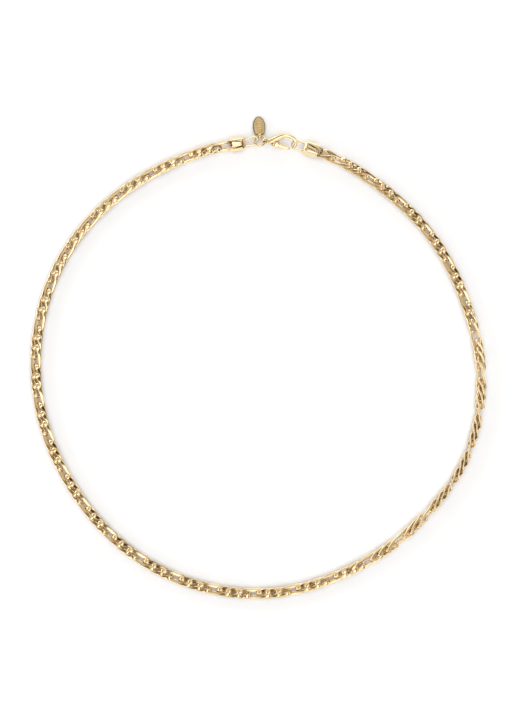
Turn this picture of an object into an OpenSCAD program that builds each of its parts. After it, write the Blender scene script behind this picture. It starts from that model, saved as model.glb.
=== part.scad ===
// Gold-coloured necklace chain lying as a closed loop, fastened with a lobster clasp.
// Millimetres, +Z up. The origin is on the surface it lies on, in the middle of the loop.
// The chain is a flat figaro: one long link and two short ones repeat, and every short
// link passes through both of the long links beside it. The clasp's lever turns on a pin.

/* [Chain] */
// Outer length of a long link
long_len = 11.92; // [11.88:0.02:11.96]
// Outer length of a short link
short_len = 8.2; // [8.16:0.02:8.24]
// Outer length of the small link in the right end cap
end_link_len = 4.6; // [4.5:0.05:4.7]
// Outer width of every link
link_w = 3.5; // [3.46:0.01:3.5]
// Thickness of the link wire
wire_d = 0.8; // [0.6:0.01:0.8]
// How far a link's wire rises and dips from its own middle plane
twist_h = 0.98; // [0.96:0.01:1]
// Quarter turns that the chain is rolled by to the middle of the right side
side_roll = 1; // [0:0.1:1]

/* [End caps] */
// Length of an end cap without its eye
cap_len = 5.1; // [5:0.1:5.4]
// Width of an end cap
cap_w = 4.2; // [4.2:0.05:4.4]
// Height of an end cap
cap_h = 4; // [3.95:0.05:4.1]
// Thickness of the cap's sheet metal
cap_wall = 0.25; // [0.2:0.01:0.25]
// How far an eye stands out from its cap
eye_len = 4.3; // [4.25:0.05:4.35]
// Width of the eye
eye_w = 3.5; // [3.4:0.05:3.6]
// Thickness of the eye's strip
eye_t = 0.36; // [0.3:0.02:0.36]

/* [Ring and tag] */
// Outer diameter of the jump ring
ring_d = 4.1; // [4:0.02:4.14]
// Thickness of the jump ring's wire
ring_wire = 0.72; // [0.66:0.02:0.72]
// Width of the oval tag
tag_w = 4.05; // [3.8:0.05:4.3]
// Length of the oval that the tag is cut from
tag_l = 7; // [6.8:0.05:7.1]
// Thickness of the tag's plate
tag_t = 0.45; // [0.35:0.05:0.5]

/* [Clasp] */
// Thickness of the clasp at the lever's hub
hub_h = 2.2; // [2:0.05:2.3]
// Radius of the lever's hub
hub_r = 1.1; // [1.05:0.01:1.15]
// Radius of the pin that the lever turns on
pin_r = 0.3; // [0.25:0.01:0.32]

/* [Hidden] */

// The loop's middle line, from the right end cap clockwise round to the left one
route = [
    // angle from the right, distance from the middle
    [94, 69.85], [74, 68.7], [54, 67.35], [34, 67.85], [14, 69.0], [-6, 72.0],
    [-26, 74.25], [-46, 74.15], [-66, 74.75], [-86, 76.15], [-106, 76.15],
    [-126, 74.9], [-146, 73.1], [-166, 72.25], [-186, 71.45], [-206, 70.55],
    [-226, 69.05], [-246, 68.1], [-266, 68.65], [-286, 67.0],
];
// The angle at which the chain leaves the right end cap
start_angle = 74;
// How the slack lies: where along the chain some of the long links are
slack = [
    // long link, distance along the chain
    [-1, -5.54], [0, 6.9], [5, 69.1], [13, 168.4], [20, 258.1], [31, 394.9], [33, 419.8], [34, 432.2],
];
last_long = 33;
// The two short links sit between two long ones at these parts of a repeat,
// leaning a little towards each other, in degrees
first_short_at = 0.391;
second_short_at = 0.609;
short_lean = 2.2;
// Where the chain runs into each end cap, and how high both caps' middles lie
chain_start = 0.4;
chain_end = 421.8;
cap_z = 2.32;
// Middle of the small link in the right end cap
end_link_at = -1.95;
// How the chain is rolled about its own line, in degrees: the caps lie tilted, and
// the right side lies on its edge where the chain has rolled halfway over
right_tilt = -22;
left_tilt = 20;
half_roll = 90 * side_roll;
roll_table = [
    // distance along the chain, roll
    [-12, right_tilt], [12, right_tilt], [32, 0], [70, 0], [106, half_roll], [136, half_roll],
    [172, 2 * half_roll], [390, 2 * half_roll], [409, 2 * half_roll + left_tilt],
    [434, 2 * half_roll + left_tilt],
];
ease_len = 24;

// How much steeper the wire crosses at a link's ends than along its sides
long_steep = 0.345;
short_steep = 0.255;
// A straight link on the curve sits inside it by this share of its bow
sag_share = 0.54;
link_steps = 12;
wire_sides = 6;
gold = [0.86, 0.68, 0.34];
dark_gold = [0.55, 0.43, 0.2];

// A smooth curve through a table's rows
function curve_at(p0, p1, p2, p3, u) =
    0.5 * (2 * p1 + (p2 - p0) * u + (2 * p0 - 5 * p1 + 4 * p2 - p3) * u * u
        + (3 * p1 - p0 - 3 * p2 + p3) * u * u * u);
route_step = route[0][0] - route[1][0];
function route_radius(a) =
    let (f = (route[1][0] - a) / route_step + 1)
    let (i = min(max(floor(f), 1), len(route) - 3))
    curve_at(route[i - 1][1], route[i][1], route[i + 1][1], route[i + 2][1], f - i);
// The loop's middle is moved onto the origin
route_shift = [0.02, 0.24];
function on_route(a) = route_radius(a) * [cos(a), sin(a)] + route_shift;

// Distance along the route for every degree, measured from the right end cap
lead_in = 12;
route_angles = [for (k = [0 : 360 - lead_in]) start_angle + lead_in - k];
route_points = [for (a = route_angles) on_route(a)];
route_sums = [
    for (i = 0, d = 0; i < len(route_points);
        d = d + (i + 1 < len(route_points) ? norm(route_points[i + 1] - route_points[i]) : 0), i = i + 1) d
];
distance_table = [
    for (i = [0 : len(route_sums) - 1]) [route_sums[i] - route_sums[lead_in], route_angles[i]]
];
function route_angle(s) = lookup(s, distance_table);
function route_heading(s) =
    let (d = on_route(route_angle(s + 1)) - on_route(route_angle(s - 1))) atan2(d[1], d[0]);

function route_bend(s) =
    let (turn = (route_heading(s + 2) - route_heading(s - 2) + 540) % 360 - 180) turn * PI / 180 / 4;

// Roll of the chain, with the table's corners eased
function roll_at(s) =
    let (n = 8)
    let (parts = [for (k = [-n : n]) lookup(s + ease_len * k / (2 * n), roll_table)])
    parts * [for (p = parts) 1] / len(parts);

// Height of the chain's middle, so that it just rests on the surface or meets the cap
function link_drop(roll) =
    max([
        for (t = [0 : 15 : 345])
            let (p = wire_at(t, 0, link_w, long_steep)) p[1] * sin(roll) + p[2] * cos(roll)
    ]) + wire_d / 2;
cap_rise = [
    // distance along the chain, share of the cap's height
    [4, 1], [22, 0], [398, 0], [414, 1],
];
rest_lift = 0.005;
function height_at(s) =
    let (u = lookup(s, cap_rise))
    let (share = u * u * (3 - 2 * u))
    (link_drop(roll_at(s)) + rest_lift) * (1 - share) + cap_z * share;

// One link: a closed wire whose upper left and lower right quarters stand high
function link_frame(s, lean) =
    let (h = route_heading(s), r = roll_at(s) + lean)
    let (along = [cos(h), sin(h), 0], side = [-sin(h), cos(h), 0])
    [along, side * cos(r) + [0, 0, sin(r)], -side * sin(r) + [0, 0, cos(r)]];
function link_mid(s, len_out) =
    let (p = on_route(route_angle(s)), h = route_heading(s))
    let (bow = sag_share * route_bend(s) * len_out * len_out / 8)
    [p[0] - sin(h) * bow, p[1] + cos(h) * bow, height_at(s)];
function wire_at(t, half_len, w, steep) = [
    half_len * cos(t), (w - wire_d) / 2 * sin(t), -twist_h * sin(2 * t) - steep * sin(4 * t)
];
function wire_way(t, half_len, w, steep) = [
    -half_len * sin(t), (w - wire_d) / 2 * cos(t), -2 * twist_h * cos(2 * t) - 4 * steep * cos(4 * t)
];
function unit(v) = v / norm(v);
// A link's row holds its place, length, width, steepness and lean
function link_points(row) =
    let (f = link_frame(row[0], row[4]), mid = link_mid(row[0], row[1]), half = (row[1] - wire_d) / 2)
    [
        for (k = [0 : link_steps - 1])
            let (t = 360 * k / link_steps)
            let (p = wire_at(t, half, row[2], row[3]), way = unit(wire_way(t, half, row[2], row[3])))
            let (out = unit(cross([0, 0, 1], way)), up = cross(way, out))
            for (j = [0 : wire_sides - 1])
                let (a = 360 * j / wire_sides)
                let (q = p + wire_d / 2 * (out * cos(a) + up * sin(a)))
                mid + f[0] * q[0] + f[1] * q[1] + f[2] * q[2]
    ];
function link_faces(first) = [
    for (k = [0 : link_steps - 1])
        for (j = [0 : wire_sides - 1])
            let (n = (k + 1) % link_steps, m = (j + 1) % wire_sides)
            let (a = first + k * wire_sides + j, b = first + k * wire_sides + m)
            let (c = first + n * wire_sides + m, d = first + n * wire_sides + j)
            for (face = [[a, c, b], [a, d, c]]) face
];

// All links from one long link to another
function long_link(k) = [lookup(k, slack), long_len, link_w, long_steep, 0];
function first_short(k) =
    [lookup(k + first_short_at, slack), short_len, link_w, short_steep, -short_lean];
function second_short(k) =
    [lookup(k + second_short_at, slack), short_len, link_w, short_steep, short_lean];
function links_between(first, last) = [
    for (k = [first : last]) for (row = [long_link(k), first_short(k), second_short(k)]) row
];
half_way = 16;
end_link_w = 3;
end_link_steep = 0.1;
right_links = concat(
    [[end_link_at, end_link_len, end_link_w, end_link_steep, 0], second_short(-1)],
    links_between(0, half_way)
);
left_links = concat(links_between(half_way + 1, last_long - 1), [long_link(last_long)]);

module chain(links) {
    per_link = link_steps * wire_sides;
    polyhedron(
        points = [for (row = links) for (p = link_points(row)) p],
        faces = [for (i = [0 : len(links) - 1]) for (f = link_faces(i * per_link)) f]
    );
}

module chain_right() {
    color(gold) chain(right_links);
}

module chain_left() {
    color(gold) chain(left_links);
}

// A bar of rounded rectangular section along X
module rounded_bar(x0, x1, w, h, r) {
    translate([x0, 0, 0]) rotate([90, 0, 90]) linear_extrude(x1 - x0) union() {
        square([w - 2 * r, h], center = true);
        square([w, h - 2 * r], center = true);
        for (sx = [-1, 1])
            for (sy = [-1, 1])
                translate([sx * (w / 2 - r), sy * (h / 2 - r)]) circle(r, $fn = 32);
    }
}

// Flat loop of strip that starts inside the cap's end
cap_round = 1.1;
strip_w = 0.5;
eye_seat = 0.2;
module eye_outline(reach, inset) {
    r = eye_w / 2 - inset;
    near = cap_len - eye_seat + inset;
    far = cap_len + reach - eye_w / 2;
    translate([far, 0]) circle(r, $fn = 48);
    translate([near, -r]) square([far - near, 2 * r]);
}

// A folded sheet cap: two flaps and a tongue leave two slots along its top,
// and a rivet through the last link holds the chain
slot_w = 0.26;
tongue_w = 1.15;
// Where each cap's slots end, short of its closed end
slot_end = 0.6;
rivet_r = 0.3;
module end_cap(rivet_x, reach) {
    difference() {
        rounded_bar(0, cap_len, cap_w, cap_h, cap_round);
        rounded_bar(-1, cap_len - cap_wall, cap_w - 2 * cap_wall, cap_h - 2 * cap_wall, cap_round - cap_wall);
        for (side = [-1, 1])
            translate([-1, side * (tongue_w + slot_w) / 2 - slot_w / 2, 0])
                cube([cap_len + 1 - slot_end, slot_w, cap_h]);
    }
    translate([rivet_x, 0, -cap_h / 2 + cap_wall / 2])
        cylinder(r = rivet_r, h = cap_h - cap_wall, $fn = 24);
    translate([0, 0, -eye_t / 2]) linear_extrude(eye_t) difference() {
        eye_outline(reach, 0);
        eye_outline(reach, strip_w);
    }
}

// Right cap: its axis runs on from the chain's start. Each rivet stands in the chain's
// last link, and the two eyes differ a little in length
right_rivet_x = 3.15;
right_eye_len = eye_len - 0.15;
left_rivet_x = 2.05;
left_eye_len = eye_len + 0.1;
right_heading = route_heading(end_link_at) + 180;
right_mid = link_mid(chain_start, 0);
module end_cap_right() {
    color(gold) translate(right_mid) rotate([0, 0, right_heading]) rotate([-right_tilt, 0, 0])
        end_cap(right_rivet_x, right_eye_len);
}

last_row = long_link(last_long);
left_heading = route_heading(last_row[0]);
left_mid = link_mid(last_row[0], last_row[1])
    + (chain_end - last_row[0]) * [cos(left_heading), sin(left_heading), 0];
module end_cap_left() {
    color(gold) translate(left_mid) rotate([0, 0, left_heading]) rotate([left_tilt, 0, 0])
        end_cap(left_rivet_x, left_eye_len);
}

// Jump ring through the left eye, the tag's loop and the clasp's tail loop
ring_mid = [0.41, 69.62, cap_z];
ring_tilt = -22;
ring_mean = (ring_d - ring_wire) / 2;
module jump_ring() {
    color(gold) translate(ring_mid) rotate([ring_tilt, 0, 0])
        rotate_extrude($fn = 48) translate([ring_mean, 0]) circle(ring_wire / 2, $fn = 20);
}

// Oval tag with a raised rim and plain ribs, on a small loop round the ring's far side
tag_loop_mid = ring_mid + ring_mean * [0, cos(ring_tilt), sin(ring_tilt)];
tag_tilt = -11;
tag_heading = 4;
loop_hole_r = ring_wire / 2 + 0.27;
loop_r = loop_hole_r + 0.3;
loop_w = 0.8;
tag_rim = 0.42;
rim_h = 0.14;
// The oval's middle above the loop's middle, and how far below it the plate is cut off
plate_at = 3;
plate_cut = plate_at - 0.4;
module tag() {
    color(dark_gold) translate(tag_loop_mid) rotate([0, 0, tag_heading]) rotate([tag_tilt, 0, 0]) {
        difference() {
            union() {
                rotate([0, 90, 0]) cylinder(r = loop_r, h = loop_w, center = true, $fn = 32);
                translate([0, plate_at, -tag_t / 2]) tag_plate(0, tag_t + rim_h);
            }
            rotate([0, 90, 0]) cylinder(r = loop_hole_r, h = 2 * tag_w, center = true, $fn = 32);
            translate([0, plate_at, tag_t / 2]) tag_plate(tag_rim, 1);
        }
        translate([0, plate_at, tag_t / 2 - rib_seat]) tag_ribs();
    }
}
// The plate's outline: an ellipse with its near end cut off, drawn as a many-sided prism
module tag_plate(inset, h) {
    a = tag_w / 2 - inset;
    b = tag_l / 2 - inset;
    linear_extrude(h)
        polygon([for (t = [0 : 9 : 351]) [a * cos(t), max(b * sin(t), inset - plate_cut)]]);
}
rib_places = [
    // place along the tag, length
    [-1.35, 2], [-0.65, 2.3], [0.05, 2.4], [0.75, 2.3], [1.45, 1.9],
];
rib_w = 0.22;
rib_h = 0.15;
rib_seat = 0.05;
module tag_ribs() {
    for (rib = rib_places)
        translate([-rib[1] / 2, rib[0] - rib_w / 2, 0]) cube([rib[1], rib_w, rib_h]);
}

// Clasp frame: X from the tail loop's middle towards the hook, on the ring's near side
tail_hole_r = ring_wire / 2 + 0.26;
tail_r = tail_hole_r + 0.4;
tail_w = 1;
clasp_origin = ring_mid + [ring_mean, 0, 0];
clasp_heading = -3;
clasp_rise = 1;
clasp_tilt = 12;
tail_lean = ring_tilt - clasp_tilt;
module in_clasp() {
    translate(clasp_origin) rotate([0, -clasp_rise, clasp_heading]) rotate([clasp_tilt, 0, 0]) children();
}

// The hook's middle line and its half sizes
hook = [
    // x, y, half width, half height
    [0.72, 0.0, 0.62, 0.55],
    [1.55, 0.0, 0.82, 0.8],
    [2.75, 0.42, 1.0, 0.95],
    [4.05, 1.15, 0.97, 1.0],
    [5.35, 1.78, 0.86, 0.95],
    [6.65, 2.08, 0.72, 0.8],
    [7.95, 1.76, 0.62, 0.65],
    [9.38, 1.0, 0.55, 0.42],
    [9.96, -0.1, 0.46, 0.34],
    [9.6, -1.25, 0.44, 0.31],
    [8.72, -2.0, 0.34, 0.28],
];
hook_sides = 12;
function hook_way(i) =
    let (a = hook[max(i - 1, 0)], b = hook[min(i + 1, len(hook) - 1)])
    unit([b[0] - a[0], b[1] - a[1]]);
module hook_sweep() {
    n = len(hook);
    polyhedron(
        points = [
            for (i = [0 : n - 1])
                let (w = hook_way(i))
                for (j = [0 : hook_sides - 1])
                    let (a = 360 * j / hook_sides)
                    [
                        hook[i][0] + w[1] * hook[i][2] * cos(a),
                        hook[i][1] - w[0] * hook[i][2] * cos(a),
                        hook[i][3] * sin(a),
                    ]
        ],
        faces = concat(
            [[for (j = [hook_sides - 1 : -1 : 0]) j]],
            [
                for (i = [0 : n - 2])
                    for (j = [0 : hook_sides - 1])
                        let (m = (j + 1) % hook_sides)
                        let (a = i * hook_sides + j, b = i * hook_sides + m)
                        let (c = (i + 1) * hook_sides + m, d = (i + 1) * hook_sides + j)
                        for (face = [[a, c, d], [a, b, c]]) face
            ],
            [[for (j = [0 : hook_sides - 1]) (n - 1) * hook_sides + j]]
        )
    );
}

// Pivot of the lever, and the tongue of the body that it straddles
pivot = [3.75, -1.05];
tongue_r = 0.78;
tongue_t = 0.8;
// The web that joins the tongue to the hook's arm
web_x = 0.25;
web_y = 1.6;
hub_gap = 0.1;
// Play of the pin in the body and of the lever on the pin
pin_play = 0.02;
lever_play = 0.04;
module clasp_body() {
    color(gold) in_clasp() difference() {
        union() {
            hook_sweep();
            rotate([90 + tail_lean, 0, 0]) cylinder(r = tail_r, h = tail_w, center = true, $fn = 40);
            translate([pivot[0], pivot[1], -tongue_t / 2]) {
                cylinder(r = tongue_r, h = tongue_t, $fn = 40);
                translate([-tongue_r, 0, 0]) cube([tongue_r + web_x, web_y, tongue_t]);
            }
        }
        rotate([90 + tail_lean, 0, 0]) cylinder(r = tail_hole_r, h = 3 * tail_w, center = true, $fn = 40);
        translate([pivot[0], pivot[1], -tongue_t])
            cylinder(r = pin_r + pin_play, h = 2 * tongue_t, $fn = 32);
        for (side = [-1, 1])
            translate([pivot[0], pivot[1], side * (tongue_t + hub_h) / 2])
                cylinder(r = hub_r + hub_gap, h = hub_h, center = true, $fn = 48);
    }
}

pin_head_r = 0.48;
pin_head_h = 0.16;
head_gap = 0.05;
module clasp_pin() {
    color(gold) in_clasp() translate([pivot[0], pivot[1], 0]) {
        cylinder(r = pin_r, h = hub_h + 2 * head_gap + pin_head_h, center = true, $fn = 32);
        for (side = [-1, 1])
            translate([0, 0, side * (hub_h / 2 + head_gap + pin_head_h / 2)])
                cylinder(r = pin_head_r, h = pin_head_h, center = true, $fn = 32);
    }
}

// The lever: a forked hub, an arm that closes the hook and a short thumb piece
slot_r = 1.25;
slot_t = 1.0;
arm_t = 1.5;
arm_outline = [
    // x, y
    [3.35, -1.79], [4.2, -2.08], [5.0, -2.24], [5.8, -2.36], [6.6, -2.42], [7.4, -2.42], [7.95, -2.36],
    [8.1, -2.18], [8.12, -1.86], [7.95, -1.68], [7.5, -1.56], [6.86, -1.38], [6.2, -1.14],
    [5.6, -0.85], [5.1, -0.5], [4.6, -0.3],
];
thumb_outline = [
    // x, y
    [3.5, -1.84], [2.9, -1.68], [2.4, -1.48], [2.05, -1.28], [1.98, -1.12],
    [2.2, -1.0], [2.7, -0.9], [3.2, -0.6],
];
module clasp_lever() {
    color(gold) in_clasp() difference() {
        union() {
            translate([pivot[0], pivot[1], 0]) cylinder(r = hub_r, h = hub_h, center = true, $fn = 48);
            linear_extrude(arm_t, center = true) polygon(arm_outline);
            linear_extrude(arm_t, center = true) polygon(thumb_outline);
        }
        translate([pivot[0], pivot[1], 0]) {
            cylinder(r = slot_r, h = slot_t, center = true, $fn = 48);
            cylinder(r = pin_r + lever_play, h = 2 * hub_h, center = true, $fn = 32);
        }
    }
}

chain_right();
chain_left();
end_cap_right();
end_cap_left();
jump_ring();
tag();
clasp_body();
clasp_pin();
clasp_lever();
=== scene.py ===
"""Looks of the gold-coloured figaro chain necklace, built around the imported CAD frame.

Sizes are worked out in millimetres with the same values as the part's source, and
every mesh is scaled to metres when it is made."""
import math

import bmesh
import bpy
import numpy as np
from mathutils import Matrix, Vector


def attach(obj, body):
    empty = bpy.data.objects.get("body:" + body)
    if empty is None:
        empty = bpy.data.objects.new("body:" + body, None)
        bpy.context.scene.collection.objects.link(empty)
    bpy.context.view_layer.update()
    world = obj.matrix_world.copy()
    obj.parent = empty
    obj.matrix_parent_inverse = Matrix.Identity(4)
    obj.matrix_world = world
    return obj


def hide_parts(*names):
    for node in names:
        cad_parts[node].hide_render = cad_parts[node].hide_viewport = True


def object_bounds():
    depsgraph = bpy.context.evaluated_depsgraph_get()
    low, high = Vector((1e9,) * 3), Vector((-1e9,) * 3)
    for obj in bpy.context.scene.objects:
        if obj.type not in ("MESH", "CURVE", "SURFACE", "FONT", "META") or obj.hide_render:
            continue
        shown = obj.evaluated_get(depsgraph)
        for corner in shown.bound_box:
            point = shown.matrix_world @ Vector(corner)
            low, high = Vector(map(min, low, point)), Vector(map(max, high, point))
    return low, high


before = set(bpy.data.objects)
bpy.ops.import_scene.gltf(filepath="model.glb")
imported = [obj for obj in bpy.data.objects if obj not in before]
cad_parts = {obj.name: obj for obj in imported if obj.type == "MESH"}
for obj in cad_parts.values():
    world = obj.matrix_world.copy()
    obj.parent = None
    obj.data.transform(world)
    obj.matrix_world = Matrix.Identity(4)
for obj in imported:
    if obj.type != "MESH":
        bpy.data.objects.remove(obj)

cad_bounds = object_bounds()
MM = 0.001
BOX_EDGE = 0.004
BOX_LOW = np.array(cad_bounds[0]) / MM + BOX_EDGE
BOX_HIGH = np.array(cad_bounds[1]) / MM - BOX_EDGE

# The part's own values
LONG_LEN, SHORT_LEN, END_LINK_LEN = 11.92, 8.2, 4.6
LINK_W, WIRE_D, TWIST_H = 3.5, 0.8, 0.98
CAP_LEN, CAP_W, CAP_H, CAP_WALL = 5.1, 4.2, 4.0, 0.25
EYE_LEN, EYE_W, EYE_T = 4.3, 3.5, 0.36
RING_D, RING_WIRE = 4.1, 0.72
TAG_W, TAG_L, TAG_T = 4.05, 7.0, 0.45
HUB_H, HUB_R, PIN_R = 2.2, 1.1, 0.3

ROUTE = [
    # angle from the right, distance from the middle
    (94, 69.85), (74, 68.7), (54, 67.35), (34, 67.85), (14, 69.0), (-6, 72.0),
    (-26, 74.25), (-46, 74.15), (-66, 74.75), (-86, 76.15), (-106, 76.15),
    (-126, 74.9), (-146, 73.1), (-166, 72.25), (-186, 71.45), (-206, 70.55),
    (-226, 69.05), (-246, 68.1), (-266, 68.65), (-286, 67.0),
]
ROUTE_STEP = 20
ROUTE_SHIFT = np.array([0.02, 0.24])
START_ANGLE, LEAD_IN = 74, 12
SLACK = [
    # long link, distance along the chain
    (-1, -5.54), (0, 6.9), (5, 69.1), (13, 168.4), (20, 258.1), (31, 394.9), (33, 419.8), (34, 432.2),
]
LAST_LONG, HALF_WAY = 33, 16
FIRST_SHORT_AT, SECOND_SHORT_AT, SHORT_LEAN = 0.391, 0.609, 2.2
CHAIN_START, CHAIN_END, CAP_Z, END_LINK_AT = 0.4, 421.8, 2.32, -1.95
RIGHT_TILT, LEFT_TILT = -22, 20
ROLL = [
    # distance along the chain, roll in degrees
    (-12, RIGHT_TILT), (12, RIGHT_TILT), (32, 0), (70, 0), (106, 90), (136, 90),
    (172, 180), (390, 180), (409, 180 + LEFT_TILT), (434, 180 + LEFT_TILT),
]
EASE_LEN, EASE_STEPS = 24, 16
LONG_STEEP, SHORT_STEEP, SAG_SHARE = 0.345, 0.255, 0.54
END_LINK_W, END_LINK_STEEP = 3.0, 0.1
CAP_RISE = [
    # distance along the chain, share of the end caps' height
    (4, 1), (22, 0), (398, 0), (414, 1),
]
REST_LIFT, DROP_STEP = 0.005, 15


# The chain's own line
def lookup(x, rows):
    return float(np.interp(x, [r[0] for r in rows], [r[1] for r in rows]))


def curve_point(p0, p1, p2, p3, u):
    """A Catmull-Rom curve between p1 and p2."""
    return 0.5 * (2 * p1 + (p2 - p0) * u + (2 * p0 - 5 * p1 + 4 * p2 - p3) * u * u
                  + (3 * p1 - p0 - 3 * p2 + p3) * u ** 3)


def route_radius(a):
    f = (START_ANGLE - a) / ROUTE_STEP + 1
    i = min(max(math.floor(f), 1), len(ROUTE) - 3)
    return curve_point(*(ROUTE[i + k][1] for k in (-1, 0, 1, 2)), f - i)


def on_route(a):
    r = route_radius(a)
    return r * np.array([math.cos(math.radians(a)), math.sin(math.radians(a))]) + ROUTE_SHIFT


ROUTE_ANGLES = [START_ANGLE + LEAD_IN - k for k in range(361 - LEAD_IN)]
ROUTE_STRIDES = np.linalg.norm(np.diff([on_route(a) for a in ROUTE_ANGLES], axis=0), axis=1)
ROUTE_SUMS = np.concatenate([[0], np.cumsum(ROUTE_STRIDES)])
ROUTE_SUMS -= ROUTE_SUMS[LEAD_IN]


def route_angle(s):
    return float(np.interp(s, ROUTE_SUMS, ROUTE_ANGLES))


def heading(s):
    d = on_route(route_angle(s + 1)) - on_route(route_angle(s - 1))
    return math.atan2(d[1], d[0])


def route_bend(s):
    return ((heading(s + 2) - heading(s - 2) + math.pi) % (2 * math.pi) - math.pi) / 4


def roll_at(s):
    half = EASE_STEPS // 2
    return float(np.mean([lookup(s + EASE_LEN * k / EASE_STEPS, ROLL) for k in range(-half, half + 1)]))


def link_rise(t, steep):
    """How far the middle line of a link's wire lies above the link's own plane."""
    return -TWIST_H * np.sin(2 * t) - steep * np.sin(4 * t)


def link_drop(roll):
    """How far a long link's wire reaches below its middle."""
    t = np.radians(np.arange(0, 360, DROP_STEP))
    side, rise = (LINK_W - WIRE_D) / 2 * np.sin(t), link_rise(t, LONG_STEEP)
    return float((side * math.sin(math.radians(roll))
                  + rise * math.cos(math.radians(roll))).max()) + WIRE_D / 2


def height_at(s):
    u = lookup(s, CAP_RISE)
    share = u * u * (3 - 2 * u)
    return (link_drop(roll_at(s)) + REST_LIFT) * (1 - share) + CAP_Z * share


def link_frame(s, lean):
    """Rows: along the chain, across it, and up out of the link's plane."""
    h, r = heading(s), math.radians(roll_at(s) + lean)
    along = np.array([math.cos(h), math.sin(h), 0])
    side = np.array([-math.sin(h), math.cos(h), 0])
    up = np.array([0, 0, 1])
    return np.array([along, side * math.cos(r) + up * math.sin(r),
                     -side * math.sin(r) + up * math.cos(r)])


def link_mid(s, length):
    p, h = on_route(route_angle(s)), heading(s)
    bow = SAG_SHARE * route_bend(s) * length * length / 8
    return np.array([p[0] - math.sin(h) * bow, p[1] + math.cos(h) * bow, height_at(s)])


def long_at(k):
    return lookup(k, SLACK)


def links_between(first, last):
    """Rows of place along the chain, CAD length, width, steepness and lean."""
    rows = []
    for k in range(first, last + 1):
        rows.append((long_at(k), LONG_LEN, LINK_W, LONG_STEEP, 0))
        rows.append((long_at(k + FIRST_SHORT_AT), SHORT_LEN, LINK_W, SHORT_STEEP, -SHORT_LEAN))
        rows.append((long_at(k + SECOND_SHORT_AT), SHORT_LEN, LINK_W, SHORT_STEEP, SHORT_LEAN))
    return rows


RIGHT_LINKS = [
    (END_LINK_AT, END_LINK_LEN, END_LINK_W, END_LINK_STEEP, 0),
    (long_at(SECOND_SHORT_AT - 1), SHORT_LEN, LINK_W, SHORT_STEEP, SHORT_LEAN),
] + links_between(0, HALF_WAY)
LAST_ROW = (long_at(LAST_LONG), LONG_LEN, LINK_W, LONG_STEEP, 0)
LEFT_LINKS = links_between(HALF_WAY + 1, LAST_LONG - 1) + [LAST_ROW]


# The visible links
def unit(v):
    return v / np.linalg.norm(v, axis=-1, keepdims=True)


def tube_faces(rings, sides, closed, first=0):
    """Quads between rings of points, with flat ends where the tube isn't closed."""
    faces = []
    for i in range(rings if closed else rings - 1):
        n = (i + 1) % rings
        for j in range(sides):
            m = (j + 1) % sides
            faces.append((first + i * sides + j, first + i * sides + m,
                          first + n * sides + m, first + n * sides + j))
    if not closed:
        faces.append([first + j for j in reversed(range(sides))])
        faces.append([first + (rings - 1) * sides + j for j in range(sides)])
    return faces


def rounded_section(sides, power):
    """Places across and up on a rounded section; 2 is an ellipse and more is squarer."""
    a = (np.arange(sides) + 0.5) * 2 * math.pi / sides
    return tuple(np.sign(v) * np.abs(v) ** (2 / power) for v in (np.cos(a), np.sin(a)))


# The visible bars are fuller than the CAD wire: flat ovals, widest halfway between a link's
# ends and its sides, flattened on the side that faces out of the chain, where it falls
# off towards the chain's edge, and filed on top
LINK_FORMS = {
    # CAD length: visible length, width of the bar at the ends, at the sides, and between
    LONG_LEN: (11.92, 0.88, 1.24, 1.24),
    SHORT_LEN: (8.62, 0.9, 1.18, 1.4),
    END_LINK_LEN: (4.6, 0.8, 0.8, 0.8),
}
BAR_H = 0.72
LINK_STEPS, WIRE_SIDES = 72, 16
FILE_TOP, FILE_UNDER, FILE_SOFT = 1.38, 1.42, 0.04
OUTER_POWER, INNER_POWER = 3.1, 2.0
RIDGE = 0.5
CROWDED, EASY_RATE, FULL_RATE, RATE_REACH = 0.9, 1.1, 2.1, 6
SIDE_IN = 0.02
TURN_STEP, OUTWARD_STEEP = 0.01, 3


def soft_limit(v, top, soft):
    """v held below top, with a rounded corner."""
    return top - soft * np.logaddexp(0, (top - v) / soft)


def fullness(s):
    """1 where the chain lies flat, less where it turns over and its links crowd each other."""
    rate = abs(roll_at(s + RATE_REACH) - roll_at(s - RATE_REACH)) / (2 * RATE_REACH)
    return 1 - CROWDED * min(1.0, max(0.0, rate - EASY_RATE) / (FULL_RATE - EASY_RATE))


def bar_line(t, form, w, steep):
    """Middle line and width of the visible bar."""
    length, at_end, at_side, between = form
    width = at_end + (at_side - at_end) * np.sin(t) ** 2
    width = width + (between - width) * np.sin(2 * t) ** 2
    return np.stack([(length - width) / 2 * np.cos(t), (w - width) / 2 * np.sin(t),
                     link_rise(t, steep)], -1), width


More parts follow.
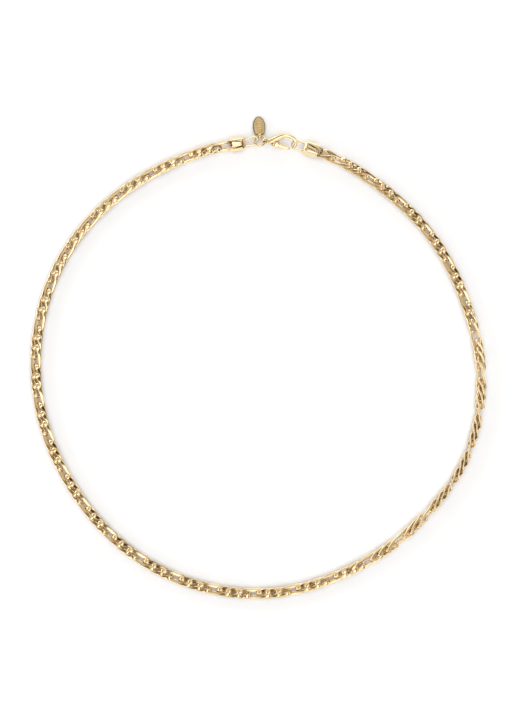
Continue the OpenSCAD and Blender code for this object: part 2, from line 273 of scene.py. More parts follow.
def link_points(row):
    s, length, w, steep, lean = row
    f, mid = link_frame(s, lean), link_mid(s, length)
    full, (visible, *widths) = fullness(s), LINK_FORMS[length]
    form = [length + (visible - length) * full] + [WIRE_D + (v - WIRE_D) * full for v in widths]
    bar_h = WIRE_D + (BAR_H - WIRE_D) * full
    t = np.arange(LINK_STEPS) * 2 * math.pi / LINK_STEPS
    p, width = bar_line(t, form, w, steep)
    way = unit(bar_line(t + TURN_STEP, form, w, steep)[0] - bar_line(t - TURN_STEP, form, w, steep)[0])
    out = unit(np.cross([0, 0, 1], way))
    up = np.cross(way, out)
    a = (np.arange(WIRE_SIDES) + 0.5) * 2 * math.pi / WIRE_SIDES
    outward = 0.5 + 0.5 * np.tanh(OUTWARD_STEEP * p[:, 2:3] * np.sign(np.sin(a)))
    across, rise = rounded_section(WIRE_SIDES, INNER_POWER + (OUTER_POWER - INNER_POWER) * full * outward)
    rise = rise * (1 + RIDGE * full * outward * (across - 1) / 2)
    q = (p[:, None] + out[:, None] * (width[:, None] / 2 * across)[..., None]
         + up[:, None] * (bar_h / 2 * rise)[..., None])
    facing = math.cos(math.radians(roll_at(s)))
    tops = (FILE_UNDER + FILE_TOP) / 2 - (FILE_UNDER - FILE_TOP) / 2 * facing
    unders = (FILE_UNDER + FILE_TOP) / 2 + (FILE_UNDER - FILE_TOP) / 2 * facing
    q[..., 2] = soft_limit(q[..., 2], tops, FILE_SOFT)
    q[..., 2] = -soft_limit(-q[..., 2], unders, FILE_SOFT)
    q[..., 1] = soft_limit(q[..., 1], w / 2 - SIDE_IN, FILE_SOFT)
    q[..., 1] = -soft_limit(-q[..., 1], w / 2 - SIDE_IN, FILE_SOFT)
    return np.clip(mid + q.reshape(-1, 3) @ f, BOX_LOW, BOX_HIGH)


def chain_piece(name, rows, material):
    """Half of the chain as one piece, every link a tube of its own."""
    points = np.concatenate([link_points(row) for row in rows])
    faces = []
    for k in range(len(rows)):
        faces += tube_faces(LINK_STEPS, WIRE_SIDES, True, k * LINK_STEPS * WIRE_SIDES)
    mesh = bpy.data.meshes.new(name)
    mesh.from_pydata((points * MM).tolist(), [], faces)
    mesh.validate()
    mesh.update()
    mesh.polygons.foreach_set("use_smooth", [True] * len(mesh.polygons))
    mesh.materials.append(material)
    piece = bpy.data.objects.new(name, mesh)
    bpy.context.scene.collection.objects.link(piece)
    return piece


# Materials
def add_node(tree, kind, **inputs):
    """A shader node with some inputs set; an underscore stands for a space in an input's name."""
    node = tree.nodes.new("ShaderNode" + kind)
    for name, value in inputs.items():
        node.inputs[name.replace("_", " ")].default_value = value
    return node


def add_blend(tree, share, low, high):
    """A colour between two; each is a colour or another node's output."""
    node = tree.nodes.new("ShaderNodeMix")
    node.data_type = "RGBA"
    tree.links.new(share, node.inputs["Factor"])
    for name, colour in (("A", low), ("B", high)):
        if isinstance(colour, tuple):
            node.inputs[name].default_value = (*colour, 1)
        else:
            tree.links.new(colour, node.inputs[name])
    return node.outputs["Result"]


BLOTCH_SCALE, BLOTCH_EDGES = 260.0, (0.32, 0.66)
# Painted shade: the base colour is darkened towards a dark brown where ambient occlusion finds a crevice
CREVICE_REACH, CREVICE_SAMPLES, CREVICE_SHUT, CREVICE_OPEN = 0.8 * MM, 6, 0.15, 0.75
CREVICE_SHADE_COLOUR = (0.2, 0.11, 0.03)
GRAIN_LOW, GRAIN_HIGH = 0.3, 0.7
HAIR_STRETCH, HAIR_TURN = (500.0, 5200.0, 2400.0), (0.3, 0.5, 0.8)
HAIR_STRENGTH, HAIR_DEPTH = 0.12, 0.00004


def gold(name, colour, deep, rough, mark_scale=900.0, haze=0.06, shade_depth=0.95):
    """Polished gold plate: two tones of colour, painted shade in the crevices, haze and fine scratches."""
    material = bpy.data.materials.new(name)
    material.use_nodes = True
    tree = material.node_tree
    link = tree.links.new
    shader = tree.nodes["Principled BSDF"]
    shader.inputs["Metallic"].default_value = 1.0
    place = add_node(tree, "TexCoord").outputs["Object"]

    blotch = add_node(tree, "TexNoise", Scale=BLOTCH_SCALE, Detail=3.0)
    link(place, blotch.inputs["Vector"])
    tone = add_node(tree, "ValToRGB")
    for stop, at, shade in zip(tone.color_ramp.elements, BLOTCH_EDGES, (deep, colour)):
        stop.position = at
        stop.color = (*shade, 1)
    link(blotch.outputs["Fac"], tone.inputs["Fac"])
    # Painted shade in the crevices, from ambient occlusion
    crevice = add_node(tree, "AmbientOcclusion", Distance=CREVICE_REACH)
    crevice.samples = CREVICE_SAMPLES
    shade_share = add_node(tree, "MapRange", From_Min=CREVICE_SHUT, From_Max=CREVICE_OPEN,
                    To_Min=shade_depth, To_Max=0.0)
    link(crevice.outputs["AO"], shade_share.inputs["Value"])
    link(add_blend(tree, shade_share.outputs["Result"], tone.outputs["Color"], CREVICE_SHADE_COLOUR), shader.inputs["Base Color"])

    grain = add_node(tree, "TexNoise", Scale=mark_scale, Detail=5.0)
    link(place, grain.inputs["Vector"])
    spread = add_node(tree, "MapRange", From_Min=GRAIN_LOW, From_Max=GRAIN_HIGH,
                      To_Min=rough, To_Max=rough + haze)
    link(grain.outputs["Fac"], spread.inputs["Value"])
    link(spread.outputs["Result"], shader.inputs["Roughness"])

    stretch = add_node(tree, "Mapping", Scale=HAIR_STRETCH, Rotation=HAIR_TURN)
    link(place, stretch.inputs["Vector"])
    hairs = add_node(tree, "TexNoise", Scale=1.0, Detail=4.0)
    link(stretch.outputs["Vector"], hairs.inputs["Vector"])
    bump = add_node(tree, "Bump", Strength=HAIR_STRENGTH, Distance=HAIR_DEPTH)
    link(hairs.outputs["Fac"], bump.inputs["Height"])
    link(bump.outputs["Normal"], shader.inputs["Normal"])
    return material


CHAIN_GOLD = gold("chain_gold", (0.94, 0.77, 0.49), (0.9, 0.71, 0.42), 0.14)
CAP_GOLD = gold("cap_gold", (0.95, 0.8, 0.54), (0.92, 0.75, 0.48), 0.2)
FITTING_GOLD = gold("fittings_gold", (0.94, 0.78, 0.5), (0.9, 0.72, 0.43), 0.16)
TAG_GOLD = gold("tag_gold", (0.93, 0.77, 0.46), (0.8, 0.62, 0.32), 0.24, 700.0, 0.1, 1.0)
# Painted dark reflection: a dark brown-grey for the tag's raised rim, much darker than the gold it stands on
TAG_RIM_PAINTED_DARK = gold("tag_rim_painted_dark", (0.42, 0.36, 0.25), (0.33, 0.28, 0.19), 0.3, 700.0, 0.1)

# The surface it lies on: a bluish glow as painted fill light, and painted shadow that darkens its colour and
# glow where the links enclose it
FLOOR_HALF, FLOOR_Z = 3.0, -0.00002
SHELTER_REACH, SHELTER_SAMPLES, SHELTER_SHUT, SHELTER_OPEN = 4 * MM, 8, 0.2, 0.68
PAPER_LIGHT = [
    # socket, painted shadow colour between the links, colour in the open
    ("Base Color", (0.33, 0.25, 0.19), (0.95, 0.94, 0.93)),
    ("Emission Color", (0.07, 0.05, 0.035), (0.26, 0.3, 0.35)),
]


def build_floor():
    corners = [(x * FLOOR_HALF, y * FLOOR_HALF, FLOOR_Z) for x, y in ((-1, -1), (1, -1), (1, 1), (-1, 1))]
    mesh = bpy.data.meshes.new("floor")
    mesh.from_pydata(corners, [], [(0, 1, 2, 3)])
    floor = bpy.data.objects.new("floor", mesh)
    bpy.context.scene.collection.objects.link(floor)
    paper = bpy.data.materials.new("paper")
    paper.use_nodes = True
    tree = paper.node_tree
    shader = tree.nodes["Principled BSDF"]
    shader.inputs["Roughness"].default_value = 0.9
    shader.inputs["Specular IOR Level"].default_value = 0.1
    shader.inputs["Emission Strength"].default_value = 1.0
    # Painted shadow: ambient occlusion darkens the paper's colour and glow between the links
    shelter = add_node(tree, "AmbientOcclusion", Distance=SHELTER_REACH)
    shelter.samples = SHELTER_SAMPLES
    lit = add_node(tree, "MapRange", From_Min=SHELTER_SHUT, From_Max=SHELTER_OPEN)
    tree.links.new(shelter.outputs["AO"], lit.inputs["Value"])
    for socket, enclosed, clear in PAPER_LIGHT:
        tree.links.new(add_blend(tree, lit.outputs["Result"], enclosed, clear), shader.inputs[socket])
    mesh.materials.append(paper)
    return floor


floor = build_floor()

# The studio: white panels and soft lamps in a warm, darker room
TENT = [
    # height on the sky's sphere, brightness
    (0.0, 0.6), (0.12, 1.0), (0.28, 2.1), (0.42, 1.8), (0.52, 0.4), (0.6, 0.16), (0.7, 0.24),
    (0.82, 0.6), (0.9, 0.64), (0.956, 0.6), (1.0, 0.56),
]
SKY_LAMPS = [
    # direction, cosine where it starts, cosine where it is full, strength; below 0 is a dark panel
    ((0.36, -0.08, 0.93), 0.95, 0.985, 0.4),
    ((0.08, -0.35, 0.93), 0.945, 0.985, 1.5),
    ((0.3, 0.3, 0.91), 0.95, 0.985, 0.2),
    ((-0.24, -0.75, 0.62), 0.93, 0.98, 1.2),
    ((0.24, 0.75, 0.62), 0.93, 0.98, 0.5),
    ((-0.7, 0.7, 0.1), 0.93, 0.98, 1.1),
    ((-0.29, -0.89, 0.36), 0.93, 0.98, -1.2),
    ((0.75, 0.55, 0.36), 0.93, 0.98, -1.5),
    ((0.8, -0.5, 0.34), 0.82, 0.96, -1.4),
]
SKY_TINTS = [
    # brightness, colour of the light there
    (0.0, (1, 0.5, 0.15)), (0.2, (1, 0.66, 0.3)), (0.4, (1, 0.8, 0.54)), (0.7, (1, 0.93, 0.82)),
    (1.0, (1, 1, 1)),
]
DARKEST = 0.04
BACKDROP = (0.93, 0.93, 0.93, 1)


def build_sky():
    world = bpy.data.worlds.new("studio")
    bpy.context.scene.world = world
    world.use_nodes = True
    tree = world.node_tree
    link = tree.links.new
    place = add_node(tree, "TexCoord").outputs["Generated"]
    split = add_node(tree, "SeparateXYZ")
    link(place, split.inputs["Vector"])
    walls = add_node(tree, "FloatCurve")
    curve = walls.mapping.curves[0]
    top = max(v for _, v in TENT)
    curve.points[0].location = (TENT[0][0], TENT[0][1] / top)
    curve.points[1].location = (TENT[-1][0], TENT[-1][1] / top)
    for z, v in TENT[1:-1]:
        curve.points.new(z, v / top)
    walls.mapping.update()
    link(split.outputs["Z"], walls.inputs["Value"])
    total = add_node(tree, "Math")
    total.operation = "MULTIPLY"
    link(walls.outputs["Value"], total.inputs[0])
    total.inputs[1].default_value = top
    for direction, start, full, strength in SKY_LAMPS:
        dot = add_node(tree, "VectorMath")
        dot.operation = "DOT_PRODUCT"
        dot.inputs[1].default_value = Vector(direction).normalized()
        link(place, dot.inputs[0])
        ramp = add_node(tree, "MapRange", From_Min=start, From_Max=full, To_Min=0.0, To_Max=strength)
        ramp.interpolation_type = "SMOOTHSTEP"
        link(dot.outputs["Value"], ramp.inputs["Value"])
        add = add_node(tree, "Math")
        link(total.outputs["Value"], add.inputs[0])
        link(ramp.outputs["Result"], add.inputs[1])
        total = add
    level = add_node(tree, "Math")
    level.operation = "MAXIMUM"
    link(total.outputs["Value"], level.inputs[0])
    level.inputs[1].default_value = DARKEST
    tint = add_node(tree, "ValToRGB")
    stops = tint.color_ramp.elements
    while len(stops) < len(SKY_TINTS):
        stops.new(0.5)
    for stop, (at, colour) in zip(stops, SKY_TINTS):
        stop.position = at
        stop.color = (*colour, 1)
    link(level.outputs["Value"], tint.inputs["Fac"])
    back = tree.nodes["Background"]
    link(tint.outputs["Color"], back.inputs["Color"])
    link(level.outputs["Value"], back.inputs["Strength"])
    plain = add_node(tree, "Background", Color=BACKDROP)
    mix = add_node(tree, "MixShader")
    link(add_node(tree, "LightPath").outputs["Is Camera Ray"], mix.inputs["Fac"])
    link(back.outputs["Background"], mix.inputs[1])
    link(plain.outputs["Background"], mix.inputs[2])
    link(mix.outputs["Shader"], tree.nodes["World Output"].inputs["Surface"])


build_sky()
bpy.context.scene.view_settings.view_transform = "Standard"
bpy.context.scene.view_settings.look = "None"

# The photograph's frame, at the chain's height
PIXEL, FRAME_PIXELS = 0.3214 * MM, 714
CAMERA_HEIGHT, SUBJECT_HEIGHT = 0.75, 0.002
SENSOR = 36.0
camera_data = bpy.data.cameras.new("camera")
camera_data.sensor_width = SENSOR
camera_data.lens = SENSOR * (CAMERA_HEIGHT - SUBJECT_HEIGHT) / (FRAME_PIXELS * PIXEL)
camera_data.clip_start, camera_data.clip_end = 0.01, 20.0
camera = bpy.data.objects.new("camera", camera_data)
camera.location = (-0.5 * PIXEL, 0.5 * PIXEL, CAMERA_HEIGHT)
bpy.context.scene.collection.objects.link(camera)
bpy.context.scene.camera = camera

# The chain
chain_right = chain_piece("chain_right_links", RIGHT_LINKS, CHAIN_GOLD)
chain_left = chain_piece("chain_left_links", LEFT_LINKS, CHAIN_GOLD)
for piece, node in ((chain_right, "chain_right"), (chain_left, "chain_left")):
    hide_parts(node)
    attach(piece, "necklace")


# Tools for the fittings
UP = (0, 0, 1)
ELLIPSE = 2.0


def draft(points, faces):
    """A working object in millimetres, which is finished or joined later."""
    mesh = bpy.data.meshes.new("draft")
    mesh.from_pydata(np.asarray(points, float).tolist(), [], faces)
    mesh.update()
    piece = bpy.data.objects.new("draft", mesh)
    bpy.context.scene.collection.objects.link(piece)
    return piece


def settle(piece):
    """The piece with its modifiers applied."""
    mesh = bpy.data.meshes.new_from_object(piece.evaluated_get(bpy.context.evaluated_depsgraph_get()))
    piece.modifiers.clear()
    piece.data = mesh
    return piece


def join(pieces):
    """One object of several drafts."""
    work = bmesh.new()
    for piece in pieces:
        work.from_mesh(piece.data)
    mesh = bpy.data.meshes.new("draft")
    work.to_mesh(mesh)
    work.free()
    for piece in pieces[1:]:
        bpy.data.objects.remove(piece)
    pieces[0].data = mesh
    return pieces[0]


def bevel(piece, width, segments, angle):
    """Rounds the edges that are sharper than the angle."""
    m = piece.modifiers.new("bevel", "BEVEL")
    m.width, m.segments, m.limit_method, m.angle_limit = width, segments, "ANGLE", math.radians(angle)
    return settle(piece)


def fuse(piece, voxel, smooth):
    """Melts overlapping solids into one skin, as a casting."""
    m = piece.modifiers.new("fuse", "REMESH")
    m.mode, m.voxel_size = "VOXEL", voxel
    s = piece.modifiers.new("soften", "SMOOTH")
    s.factor, s.iterations = 0.5, smooth
    return settle(piece)


def cut(piece, cutters):
    for cutter in cutters:
        m = piece.modifiers.new("cut", "BOOLEAN")
        m.operation, m.solver, m.object = "DIFFERENCE", "EXACT", cutter
    settle(piece)
    for cutter in cutters:
        bpy.data.objects.remove(cutter)
    return piece


def done(piece, name, place, material, node, smooth_below=35.0, body="necklace"):
    """Names a draft, puts it in its place in metres and hands it to the frame."""
    mesh = piece.data
    mesh.transform(Matrix.Scale(MM, 4) @ place)
    mesh.materials.clear()
    mesh.materials.append(material)
    mesh.polygons.foreach_set("use_smooth", [True] * len(mesh.polygons))
    mesh.set_sharp_from_angle(angle=math.radians(smooth_below))
    piece.name = mesh.name = name
    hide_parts(node)
    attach(piece, body)


def turn(degrees, axis):
    return Matrix.Rotation(math.radians(degrees), 4, axis)


def move(v):
    return Matrix.Translation(Vector([float(x) for x in v]))


def sweep(path, half_w, half_h, ups, sides, closed=False, power=ELLIPSE):
    """A tube along a path; half sizes lie across and along ups, on a rounded section."""
    path = np.asarray(path, float)
    n = len(path)
    way = unit((np.roll(path, -1, 0) - np.roll(path, 1, 0)) if closed else np.gradient(path, axis=0))
    out = unit(np.cross(np.broadcast_to(np.asarray(ups, float), (n, 3)), way))
    up = unit(np.cross(way, out))
    c, s = rounded_section(sides, power)
    w = np.broadcast_to(np.asarray(half_w, float), (n,))[:, None] * c
    h = np.broadcast_to(np.asarray(half_h, float), (n,))[:, None] * s
    q = path[:, None] + out[:, None] * w[..., None] + up[:, None] * h[..., None]
    return draft(q.reshape(-1, 3), tube_faces(n, sides, closed))


def smooth_line(rows, steps):
    """A smooth curve through rows of numbers."""
    rows = np.asarray(rows, float)
    padded = np.vstack([2 * rows[0] - rows[1], rows, 2 * rows[-1] - rows[-2]])
    shares = np.arange(steps) / steps
    out = [curve_point(*padded[i - 1:i + 3], u) for i in range(1, len(rows)) for u in shares]
    return np.array(out + [rows[-1]])


def flat_circle(radius, step, plane):
    """Points every step degrees round a circle in the plane of two axes."""
    t = np.radians(np.arange(0, 360, step))
    points = np.zeros((len(t), 3))
    points[:, plane[0]], points[:, plane[1]] = radius * np.cos(t), radius * np.sin(t)
    return points


DISC_BEND = 7


def disc(radius, height, mid=(0, 0, 0), sides=64, lean=None, edge=0.0):
    """A turned disc with rounded rims."""
    bend = np.radians(np.linspace(0, 90, DISC_BEND)) if edge else np.zeros(1)
    rim = [(radius - edge + edge * math.cos(b), height / 2 - edge + edge * math.sin(b)) for b in bend]
    levels = [(r, -z) for r, z in reversed(rim)] + rim
    a = np.arange(sides) * 2 * math.pi / sides
    pts = np.concatenate([np.stack([r * np.cos(a), r * np.sin(a), np.full(sides, z)], -1) for r, z in levels])
    piece = draft(pts, tube_faces(len(levels), sides, False))
    if lean is not None:
        piece.data.transform(lean)
    piece.data.transform(move(mid))
    return piece


def slab(outline, height):
    """An outline with a thickness, centred on its plane."""
    n = len(outline)
    pts = np.vstack([np.column_stack([outline, np.full(n, z)]) for z in (-height / 2, height / 2)])
    return draft(pts, tube_faces(2, n, False))


# End caps: a folded sheet with two slots over the chain's end, and an eye
CAP_ROUND, CORNER_STEPS = 1.1, 12
CAP_STATIONS = [
    # along the cap, width and height of its section
    (0.0, 1, 1), (0.12, 1, 1), (0.7, 1, 1), (1.5, 1, 1), (2.4, 1, 1), (3.2, 1, 1), (3.8, 0.995, 0.99),
    (4.25, 0.975, 0.95), (4.6, 0.93, 0.87), (4.85, 0.86, 0.75), (5.0, 0.76, 0.61), (5.07, 0.62, 0.46),
    (5.1, 0.44, 0.3), (5.1, 0.1, 0.06),
]
SHELL_BEGIN, SHELL_POINTS = 0.15, 61
TONGUE_BEGIN, TONGUE_POINTS = 0.9, 13
BEGIN_EASE, SLOT_EASE = 2, 0.4
SHEET_BEVEL = (0.06, 2, 50)
EYE_SIDES, EYE_SQUARE = 14, 2.6
RIVET_R, RIVET_EDGE, RIVET_SHORT, RIVET_DROP = 0.3, 0.1, 2.6 * CAP_WALL, 0.8 * CAP_WALL
BEAD_R, BEAD_H, BEAD_EDGE, BEAD_VOXEL, BEAD_SMOOTH = 0.5, 0.8, 0.3, 0.09, 3


def cap_section():
    """Outline of the cap's section, clockwise from the top's middle, and the way round it."""
    r = CAP_ROUND
    corners = [(CAP_W / 2 - r, CAP_H / 2 - r, 90), (CAP_W / 2 - r, r - CAP_H / 2, 0),
               (r - CAP_W / 2, r - CAP_H / 2, -90), (r - CAP_W / 2, CAP_H / 2 - r, -180)]
    pts = [(0.0, CAP_H / 2)]
    for cy, cz, start in corners:
        for k in range(CORNER_STEPS + 1):
            a = math.radians(start - 90 * k / CORNER_STEPS)
            pts.append((cy + r * math.cos(a), cz + r * math.sin(a)))
    pts = np.array(pts + [(0.0, CAP_H / 2)])
    return pts, np.concatenate([[0], np.cumsum(np.linalg.norm(np.diff(pts, axis=0), axis=1))])


SECTION, SECTION_RUN = cap_section()
ROUND = SECTION_RUN[-1]


def cap_sheet(first_edge, last_edge, begin, count):
    """Part of the cap's sheet between two edges, each a function of the place along the cap."""
    rows = []
    for x, wide, high in CAP_STATIONS:
        d = np.linspace(first_edge(x), last_edge(x), count) % ROUND
        rows.append(np.column_stack([np.full(count, x + begin * max(0.0, 1 - x / BEGIN_EASE)),
                                     np.interp(d, SECTION_RUN, SECTION[:, 0]) * wide,
                                     np.interp(d, SECTION_RUN, SECTION[:, 1]) * high]))
    faces = []
    for i in range(len(CAP_STATIONS) - 1):
        for j in range(count - 1):
            a = i * count + j
            faces.append((a, a + 1, a + count + 1, a + count))
    piece = draft(np.concatenate(rows), faces)
    m = piece.modifiers.new("sheet", "SOLIDIFY")
    m.thickness, m.offset, m.use_even_offset = CAP_WALL, 1, True
    settle(piece)
    return bevel(piece, *SHEET_BEVEL)


def slot_edge(row, side):
    """One edge of a slot as a function of the place along the cap."""
    middle, slant, half, end = row
    return lambda x: middle + slant * x + side * half * min(1.0, max(0.0, (end - x) / SLOT_EASE))


def end_cap(slots, eye, rivet_x, bead):
    """The folded sheet with its tongue between the slots, its eye, its rivet and a bead of solder."""
    plus, minus = slots
    parts = [
        cap_sheet(slot_edge(plus, 1), lambda x: ROUND + slot_edge(minus, -1)(x), SHELL_BEGIN, SHELL_POINTS),
        cap_sheet(slot_edge(minus, 1), slot_edge(plus, -1), TONGUE_BEGIN, TONGUE_POINTS),
        sweep(*eye, UP, EYE_SIDES, False, EYE_SQUARE),
        disc(RIVET_R, CAP_H - RIVET_SHORT, (rivet_x, 0, -RIVET_DROP), 32, None, RIVET_EDGE),
    ]
    if bead:
        parts.append(fuse(disc(BEAD_R, BEAD_H, bead, 24, None, BEAD_EDGE), BEAD_VOXEL, BEAD_SMOOTH))
    return join(parts)


def eye_strip(reach, near_top, near_low, widen):
    """The eye: out along one side, round its far end and back, wider beside the cap."""
    half = EYE_W / 2
    far = CAP_LEN + reach - half
    root, neck = CAP_LEN - 0.25, CAP_LEN + 0.3
    # place along the cap, place across, half width
    rows = [
        (root, near_top, 0.4),
        (neck, near_top + 0.1 * (half - near_top), 0.38),
        (neck + widen * 0.5, near_top + 0.6 * (half - 0.34 - near_top), 0.35),
        (neck + widen, half - 0.3, 0.3),
    ]
    rows = [r for r in rows if r[0] < far - 0.8]
    for a in np.radians(np.arange(0, 181, 20)):
        w = 0.24 + 0.06 * math.cos(a) ** 2
        rows.append((far + (half - w) * math.sin(a), (half - w) * math.cos(a), w))
    rows += [
        (CAP_LEN + 0.9, 0.36 - half, 0.36),
        (CAP_LEN + 0.2, -near_low, 0.4),
        (root, -near_low, 0.42),
    ]
    line = smooth_line(rows, 5)
    return np.column_stack([line[:, :2], np.zeros(len(line))]), line[:, 2], EYE_T / 2


RIGHT_HEADING = math.degrees(heading(END_LINK_AT)) + 180
RIGHT_MID = link_mid(CHAIN_START, 0)
RIGHT_PLACE = move(RIGHT_MID) @ turn(RIGHT_HEADING, "Z") @ turn(-RIGHT_TILT, "X")
LEFT_HEADING = heading(LAST_ROW[0])
LEFT_MID = link_mid(LAST_ROW[0], LAST_ROW[1]) + (CHAIN_END - LAST_ROW[0]) * np.array(
    [math.cos(LEFT_HEADING), math.sin(LEFT_HEADING), 0])
LEFT_PLACE = move(LEFT_MID) @ turn(math.degrees(LEFT_HEADING), "Z") @ turn(LEFT_TILT, "X")
RIGHT_SLOTS = [
    # middle at the open end, slant, half width, where the slot ends
    (1.5, -0.2, 0.16, 4.1), (0.42, -0.24, 0.27, 3.9),
]
LEFT_SLOTS = [(2.0, -0.27, 0.17, 4.3), (-0.66, 0.02, 0.3, 5.0)]
RIGHT_EYE = eye_strip(EYE_LEN - 0.15, 1.3, 1.3, 1.2)
LEFT_EYE = eye_strip(EYE_LEN + 0.1, 0.6, 1.3, 2.1)
RIGHT_RIVET_X, LEFT_RIVET_X = 3.15, 2.05
BEAD_AT = (4.78, -0.8, 1.1)

done(end_cap(RIGHT_SLOTS, RIGHT_EYE, RIGHT_RIVET_X, BEAD_AT),
     "end_cap_right_folded", RIGHT_PLACE, CAP_GOLD, "end_cap_right")
done(end_cap(LEFT_SLOTS, LEFT_EYE, LEFT_RIVET_X, None),
     "end_cap_left_folded", LEFT_PLACE, CAP_GOLD, "end_cap_left")

# Jump ring: a turn of wire whose ends meet
RING_MID = np.array([0.41, 69.62, CAP_Z])
RING_TILT = -22
RING_MEAN = (RING_D - RING_WIRE) / 2
RING_OPEN, RING_SEAM = 2.0, -140
RING_HALF, RING_STEPS, RING_BEVEL = RING_WIRE / 2 + 0.03, 72, (0.04, 2, 60)
turns = np.radians(np.linspace(RING_SEAM + RING_OPEN, RING_SEAM + 360 - RING_OPEN, RING_STEPS + 1))
ring = sweep(np.column_stack([RING_MEAN * np.cos(turns), RING_MEAN * np.sin(turns), 0 * turns]),
             RING_HALF, RING_HALF, UP, WIRE_SIDES)
done(bevel(ring, *RING_BEVEL), "jump_ring_wire", move(RING_MID) @ turn(RING_TILT, "X"),
     FITTING_GOLD, "jump_ring", 50)

# Tag: an oval plate with a raised rim and plain ribs, on its loop
TAG_LOOP_MID = RING_MID + RING_MEAN * np.array(
    [0, math.cos(math.radians(RING_TILT)), math.sin(math.radians(RING_TILT))])
TAG_TILT, TAG_HEADING, PLATE_AT = -11, 4, 3
TAG_PLACE = move(TAG_LOOP_MID) @ turn(TAG_HEADING, "Z") @ turn(TAG_TILT, "X")
TAG_RIM, RIM_H, RIM_LEVELS, OVAL_SIDES = 0.42, 0.14, 7, 120
LOOP_R, LOOP_HALF, LOOP_W, LOOP_STEP, LOOP_SQUARE = RING_WIRE / 2 + 0.27 + 0.15, 0.15, 0.8, 9, 3.0
RIB_W, RIB_H, RIB_TIP, RIB_SIDES = 0.24, 0.13, 0.08, 12
OVAL_CUT, OVAL_SOFT = 0.4, 0.05
RIBS = [
    # place along the tag, length
    (-1.35, 2), (-0.65, 2.3), (0.05, 2.4), (0.75, 2.3), (1.45, 1.9),
]


def oval(inset, z):
    """A ring of points at one level of the tag, cut straight beside its loop."""
    t = np.arange(OVAL_SIDES) * 2 * math.pi / OVAL_SIDES
    a, b = TAG_W / 2 - inset, TAG_L / 2 - inset
    y = soft_limit(-b * np.sin(t), PLATE_AT - OVAL_CUT - inset, OVAL_SOFT) * -1
    return np.column_stack([a * np.cos(t), y, np.full(OVAL_SIDES, z)])


def tag_plate():
    top = TAG_T / 2
    rim_top = top + RIM_H
    # inset from the outline, height
    levels = [(0.05, -top), (0.0, -top + 0.06), (0.0, rim_top - 0.1), (0.03, rim_top - 0.03),
              (0.1, rim_top), (TAG_RIM - 0.14, rim_top), (TAG_RIM - 0.06, rim_top - 0.03),
              (TAG_RIM, top + 0.02), (TAG_RIM + 0.07, top), (TAG_RIM + 0.5, top)]
    piece = draft(np.concatenate([oval(i, z) for i, z in levels]), tube_faces(len(levels), OVAL_SIDES, False))
    piece.data.transform(move((0, PLATE_AT, 0)))
    return piece


def rib(at, length):
    """A low rounded bar across the tag."""
    half = length / 2
    line = [(x, 0, 0) for x in (-half, RIB_TIP - half, 0, half - RIB_TIP, half)]
    sizes = np.array([0.5, 1, 1, 1, 0.5])
    piece = sweep(line, RIB_W / 2 * sizes, RIB_H * sizes, UP, RIB_SIDES)
    piece.data.transform(move((0, PLATE_AT + at, TAG_T / 2)))
    return piece


loop = sweep(flat_circle(LOOP_R, LOOP_STEP, (1, 2)), LOOP_HALF, LOOP_W / 2, (1, 0, 0), 16, True, LOOP_SQUARE)
tag = join([tag_plate(), loop] + [rib(at, length) for at, length in RIBS])
done(tag, "tag_oval", TAG_PLACE, TAG_GOLD, "tag", 42)
# The rim's faces take the painted dark reflection
tag.data.materials.append(TAG_RIM_PAINTED_DARK)
for face in tag.data.polygons[:RIM_LEVELS * OVAL_SIDES]:
    face.material_index = 1

# Lobster clasp: body
TAIL_HOLE_R, TAIL_HALF = RING_WIRE / 2 + 0.26, 0.2
TAIL_W, TAIL_STEP, TAIL_SQUARE, CLASP_TILT = 1.0, 6, 2.8, 12
BODY_VOXEL, BODY_SMOOTH, BODY_SQUARE, BODY_STEPS = 0.085, 2, 2.2, 6
TAIL_LEAN = turn(90 + RING_TILT - CLASP_TILT, "X")
CLASP_PLACE = (move(RING_MID + np.array([RING_MEAN, 0, 0])) @ turn(-3, "Z") @ turn(-1, "Y")
               @ turn(CLASP_TILT, "X"))
HOOK = [
    # x, y, half width, half height
    (0.72, 0.0, 0.62, 0.55), (1.55, 0.0, 0.82, 0.8), (2.75, 0.42, 1.0, 0.95), (4.05, 1.15, 0.97, 1.0),
    (5.35, 1.78, 0.86, 0.95), (6.65, 2.08, 0.72, 0.8), (7.95, 1.76, 0.62, 0.65), (9.38, 1.0, 0.55, 0.42),
    (9.96, -0.1, 0.46, 0.34), (9.6, -1.25, 0.44, 0.31), (8.88, -1.9, 0.35, 0.28),
    (8.66, -2.06, 0.2, 0.16),
]
PIVOT = np.array([3.75, -1.05, 0])
TONGUE_R, TONGUE_T, TONGUE_EDGE, HUB_GAP, BORE_GAP = 0.78, 0.8, 0.06, 0.16, 0.02
LIMB_SIDES = 24
WEB = PIVOT[:2] + np.array([(-TONGUE_R, 0), (0.25, 0), (0.25, 1.6), (-TONGUE_R, 1.6)])


def limb(rows, steps, power):
    """A cast arm through rows of x, y, half width and half height."""
    line = smooth_line(rows, steps)
    path = np.column_stack([line[:, :2], np.zeros(len(line))])
    return sweep(path, line[:, 2], line[:, 3], UP, LIMB_SIDES, False, power)


def at_pivot(z):
    return (PIVOT[0], PIVOT[1], z)


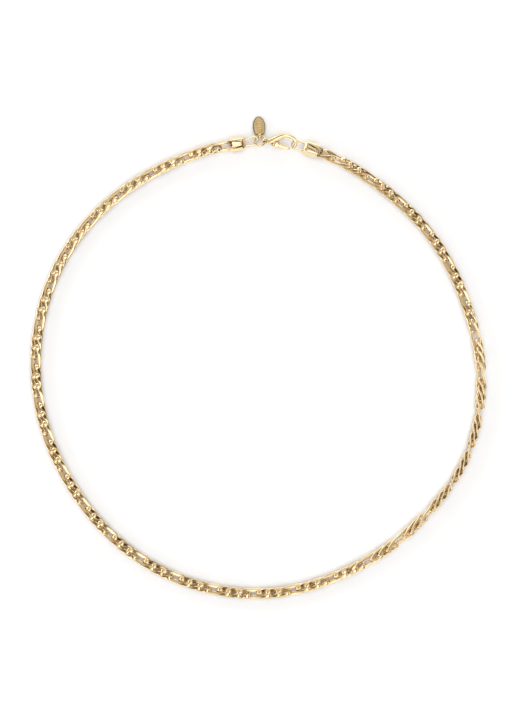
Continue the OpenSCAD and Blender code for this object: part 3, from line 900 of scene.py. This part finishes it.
tail_line = flat_circle(TAIL_HOLE_R + TAIL_HALF, TAIL_STEP, (0, 1))
tail = sweep(tail_line, TAIL_HALF, TAIL_W / 2, UP, 16, True, TAIL_SQUARE)
tail.data.transform(TAIL_LEAN)
tongue = disc(TONGUE_R, TONGUE_T, PIVOT, 48, None, TONGUE_EDGE)
cheek_z = (TONGUE_T + HUB_H) / 2
cheeks = [disc(HUB_R + HUB_GAP, HUB_H, at_pivot(side * cheek_z)) for side in (-1, 1)]
bores = [disc(TAIL_HOLE_R, 3 * TAIL_W, (0, 0, 0), 48, TAIL_LEAN),
         disc(PIN_R + BORE_GAP, 2 * TONGUE_T, PIVOT, 32)]
castings = [limb(HOOK, BODY_STEPS, BODY_SQUARE), tail, tongue, slab(WEB, TONGUE_T)]
clasp = cut(fuse(join(castings), BODY_VOXEL, BODY_SMOOTH), cheeks + bores)
done(clasp, "clasp_body_cast", CLASP_PLACE, FITTING_GOLD, "clasp_body", 40)

# Lobster clasp: rivet with two low heads
HEAD_R, HEAD_H, HEAD_EDGE, HEAD_IN = 0.36, 0.12, 0.06, 0.03
head_z = HUB_H / 2 - HEAD_IN
heads = [disc(HEAD_R, HEAD_H, at_pivot(side * head_z), 32, None, HEAD_EDGE) for side in (-1, 1)]
rivet = join([disc(PIN_R, HUB_H - 2 * HEAD_IN, PIVOT, 32)] + heads)
done(rivet, "clasp_rivet", CLASP_PLACE, FITTING_GOLD, "clasp_pin", 50)

# Lobster clasp: lever
SLOT_R, SLOT_H, LEVER_GAP, HUB_EDGE = 1.25, 1.0, 0.04, 0.6
LEVER_VOXEL, LEVER_SMOOTH, LEVER_SQUARE, LEVER_STEPS = 0.075, 9, 2.7, 5
ARM = [
    # x, y, half width, half height
    (3.75, -1.1, 0.96, 1.08), (4.4, -1.22, 0.86, 1.04), (5.1, -1.42, 0.84, 1.0), (5.8, -1.66, 0.75, 0.96),
    (6.6, -1.85, 0.63, 0.92), (7.4, -1.97, 0.52, 0.86), (7.9, -2.02, 0.44, 0.74), (8.16, -2.03, 0.2, 0.36),
]
THUMB = [
    (3.75, -1.2, 0.78, 0.98), (3.1, -1.25, 0.66, 0.95), (2.6, -1.27, 0.52, 0.9), (2.2, -1.22, 0.4, 0.78),
    (1.98, -1.18, 0.18, 0.42),
]
hub = disc(HUB_R, HUB_H, PIVOT, 64, None, HUB_EDGE)
limbs = [limb(rows, LEVER_STEPS, LEVER_SQUARE) for rows in (ARM, THUMB)]
lever = fuse(join([hub] + limbs), LEVER_VOXEL, LEVER_SMOOTH)
lever = cut(lever, [disc(SLOT_R, SLOT_H, PIVOT), disc(PIN_R + LEVER_GAP, 2 * HUB_H, PIVOT, 32)])
done(lever, "clasp_lever_cast", CLASP_PLACE, FITTING_GOLD, "clasp_lever", 40, "lever")
